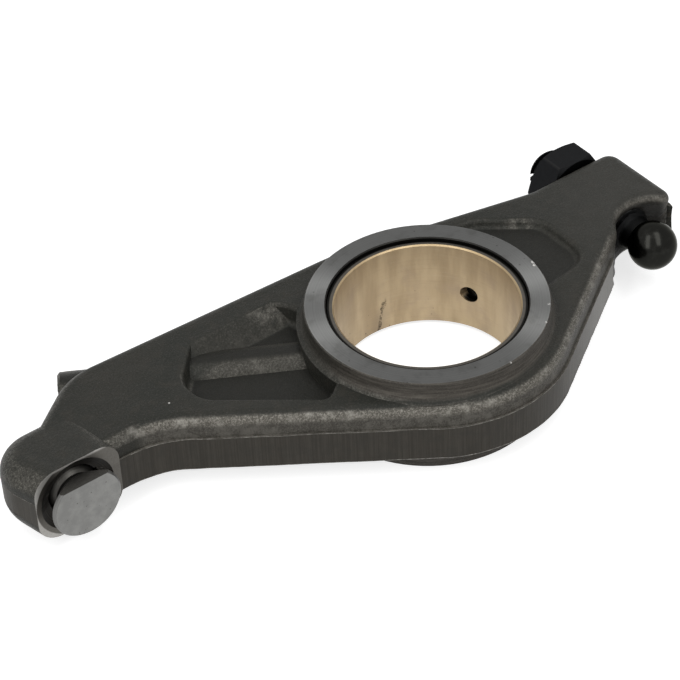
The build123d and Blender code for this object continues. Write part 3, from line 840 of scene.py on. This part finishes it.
def evenly(loop, spacing):
    """Points at an even spacing round a closed outline, counter-clockwise, with outward normals."""
    if sum(a[0] * b[1] - b[0] * a[1] for a, b in sides(loop)) < 0:
        loop = loop[::-1]
    closed = loop + loop[:1]
    total = perimeter(loop)
    count = int(total / spacing)
    points, index, walked = [], 0, 0.0
    for i in range(count):
        target = total * i / count
        while True:
            a, b = closed[index], closed[index + 1]
            length = hypot(b[0] - a[0], b[1] - a[1])
            if walked + length >= target and length > 0:
                break
            walked += length
            index += 1
        t = (target - walked) / length
        points.append((a[0] + (b[0] - a[0]) * t, a[1] + (b[1] - a[1]) * t))
    placed = []
    for i, (x, y) in enumerate(points):
        before, after = points[i - 2], points[(i + 2) % count]
        tx, ty = after[0] - before[0], after[1] - before[1]
        length = hypot(tx, ty)
        placed.append((x, y, ty / length, -tx / length))
    return placed


BURR_SPACING = 0.35
BURR_NOISE = 0.35
BURR_INSET = 0.02
BURR_SMOOTH_BELOW = 50


def is_forged(x, y):
    """False where the outline runs along a machined place."""
    if x < FOOT_BOSS_X and y < PAD_Y + 0.9:
        return False
    if hypot(x - SCREW_X, y - DISH_Y) < DISH_R + 2.3:
        return False
    return not (abs(x - SCREW_X) < NUT_SEAT_R and y > NUT_SEAT_Y - 0.4)


def burr_corners(reach):
    """Cross-section of a burr: distances out from the wall and up."""
    foot, root, rise, tip_rise, drop = -0.14, -0.02, 0.06, 0.02, -0.10
    return (foot, 0.0), (root, rise), (reach, tip_rise), (root, drop - reach)


def burr_line(name, height, reach, wander, seed):
    """Thin uneven burr along an edge of the band, reaching out and wandering up and down."""
    verts, faces, reaches = [], [], []
    for x, y, nx, ny in evenly(section("arm_forging", height)[0], BURR_SPACING):
        spot = Vector((x * BURR_NOISE, y * BURR_NOISE, seed))
        fine = noise.noise(spot * 4.5)
        share = max(0.15, 0.65 + 0.6 * noise.noise(spot) + 0.45 * fine)
        out = reach * share if is_forged(x, y) else 0.0
        level = height + wander * noise.noise(spot * 0.45 + Vector((0, 0, 7))) + 0.03 * fine
        reaches.append(out)
        for away, up in burr_corners(out):
            verts.append((x + nx * away, y + ny * away, level + up))
    # Stretch i joins row i to the next. A row where stretches start or end gets a cap.
    n, m = len(reaches), len(burr_corners(reach))
    used = [max(reaches[i], reaches[(i + 1) % n]) > 0.0 for i in range(n)]
    for i in range(n):
        k = (i + 1) % n
        if used[i]:
            for c in range(m):
                d = (c + 1) % m
                faces.append((i * m + c, k * m + c, k * m + d, i * m + d))
    for i in range(n):
        if used[i] != used[i - 1]:
            faces.append(tuple(i * m + c for c in range(m)))
    made = piece(
        name, verts, faces, "arm", trimmed_burr, BURR_SMOOTH_BELOW)
    drop_loose(made.data)


def drop_loose(mesh):
    work = bmesh.new()
    work.from_mesh(mesh)
    loose = [v for v in work.verts if not v.link_faces]
    bmesh.ops.delete(work, geom=loose, context="VERTS")
    work.to_mesh(mesh)
    work.free()


adjusting_screw()
burr_line("burr_upper", BAND_TOP - BURR_INSET, 0.09, 0.22, 3.0)
burr_line("burr_lower", BAND_BOTTOM + BURR_INSET, 0.08, 0.12, 11.0)


# ---------------------------------------------------------------- floor, light and camera

FLOOR_GAP, FLOOR_HALF = 0.02, 6000.0
FLOOR_GREY, FLOOR_GLOW = (0.62, 0.62, 0.62), 0.75
WORLD_LIGHT, WORLD_SEEN = 0.18, 1.0
LAMP_DISTANCE, LAMP_WIDTH, LAMP_LENGTH, LAMP_WATTS = 1.0, 0.35, 1.20, 5.0
CAMERA_PLACE = -0.2472, -0.3212, 0.35385
CAMERA_RIGHT, CAMERA_BACK = (0.7999, -0.5989, -0.0387), (-0.4319, -0.6192, 0.6560)
LAMP_UPRIGHT = 0.4169, 0.5080, 0.7540
CAMERA_LENS, CAMERA_SENSOR = 131.58, 36.0
WHITE = 1, 1, 1
SEEN_BY = "Camera", "Glossy", "Transmission"


def floor_material():
    """Pale floor that shows white to the camera and keeps the object's shadow."""
    s = Shade("pale_floor")
    path = s.nodes.new("ShaderNodeLightPath")
    seen = s.either(*(path.outputs[f"Is {kind} Ray"] for kind in SEEN_BY))
    return s.finish(
        Base_Color=FLOOR_GREY,
        Roughness=0.9,
        Specular_IOR_Level=0.0,
        Emission_Color=WHITE,
        Emission_Strength=s.times(seen, FLOOR_GLOW),
    )


def floor():
    corners = [
        (x * FLOOR_HALF, y * FLOOR_HALF, -HUB_HALF - FLOOR_GAP)
        for x, y in ((-1, -1), (1, -1), (1, 1), (-1, 1))
    ]
    mesh = bpy.data.meshes.new("floor")
    mesh.from_pydata([[c * MM for c in v] for v in corners], [], [(0, 1, 2, 3)])
    mesh.materials.append(floor_material())
    made = bpy.data.objects.new("floor", mesh)
    scene.collection.objects.link(made)


def world():
    """White where it is seen, and dimmer where it lights the object."""
    made = bpy.data.worlds.new("studio")
    scene.world = made
    made.use_nodes = True
    nodes, links = made.node_tree.nodes, made.node_tree.links
    background = nodes["Background"]
    background.inputs["Color"].default_value = (*WHITE, 1)
    path = nodes.new("ShaderNodeLightPath")
    total, *others = (path.outputs[f"Is {kind} Ray"] for kind in SEEN_BY)
    for output in others:
        either = nodes.new("ShaderNodeMath")
        either.operation = "MAXIMUM"
        links.new(total, either.inputs[0])
        links.new(output, either.inputs[1])
        total = either.outputs[0]
    strength = nodes.new("ShaderNodeMapRange")
    links.new(total, strength.inputs["Value"])
    strength.inputs["To Min"].default_value = WORLD_LIGHT
    strength.inputs["To Max"].default_value = WORLD_SEEN
    links.new(strength.outputs["Result"], background.inputs["Strength"])


def lamp(name, direction):
    """A soft strip that faces the object, its long side near the upright direction."""
    light = bpy.data.lights.new(name, "AREA")
    light.shape = "RECTANGLE"
    light.size, light.size_y = LAMP_WIDTH, LAMP_LENGTH
    light.energy = LAMP_WATTS
    made = bpy.data.objects.new(name, light)
    scene.collection.objects.link(made)
    away = Vector(direction).normalized()
    made.location = away * LAMP_DISTANCE
    side = Vector(LAMP_UPRIGHT).cross(away).normalized()
    made.rotation_euler = Matrix((side, away.cross(side), away)).transposed().to_euler()


def camera():
    made = bpy.data.objects.new("camera", bpy.data.cameras.new("camera"))
    scene.collection.objects.link(made)
    made.data.lens = CAMERA_LENS
    made.data.sensor_width = CAMERA_SENSOR
    made.data.clip_start = 0.01
    made.data.clip_end = 50.0
    back = Vector(CAMERA_BACK).normalized()
    up = back.cross(Vector(CAMERA_RIGHT)).normalized()
    right = up.cross(back)
    made.matrix_world = Matrix((*zip(right, up, back, CAMERA_PLACE), (0, 0, 0, 1)))
    scene.camera = made


floor()
world()
lamp("left_strip", (-0.627, -0.146, 0.765))
lamp("right_strip", (0.141, -0.472, 0.868))
camera()
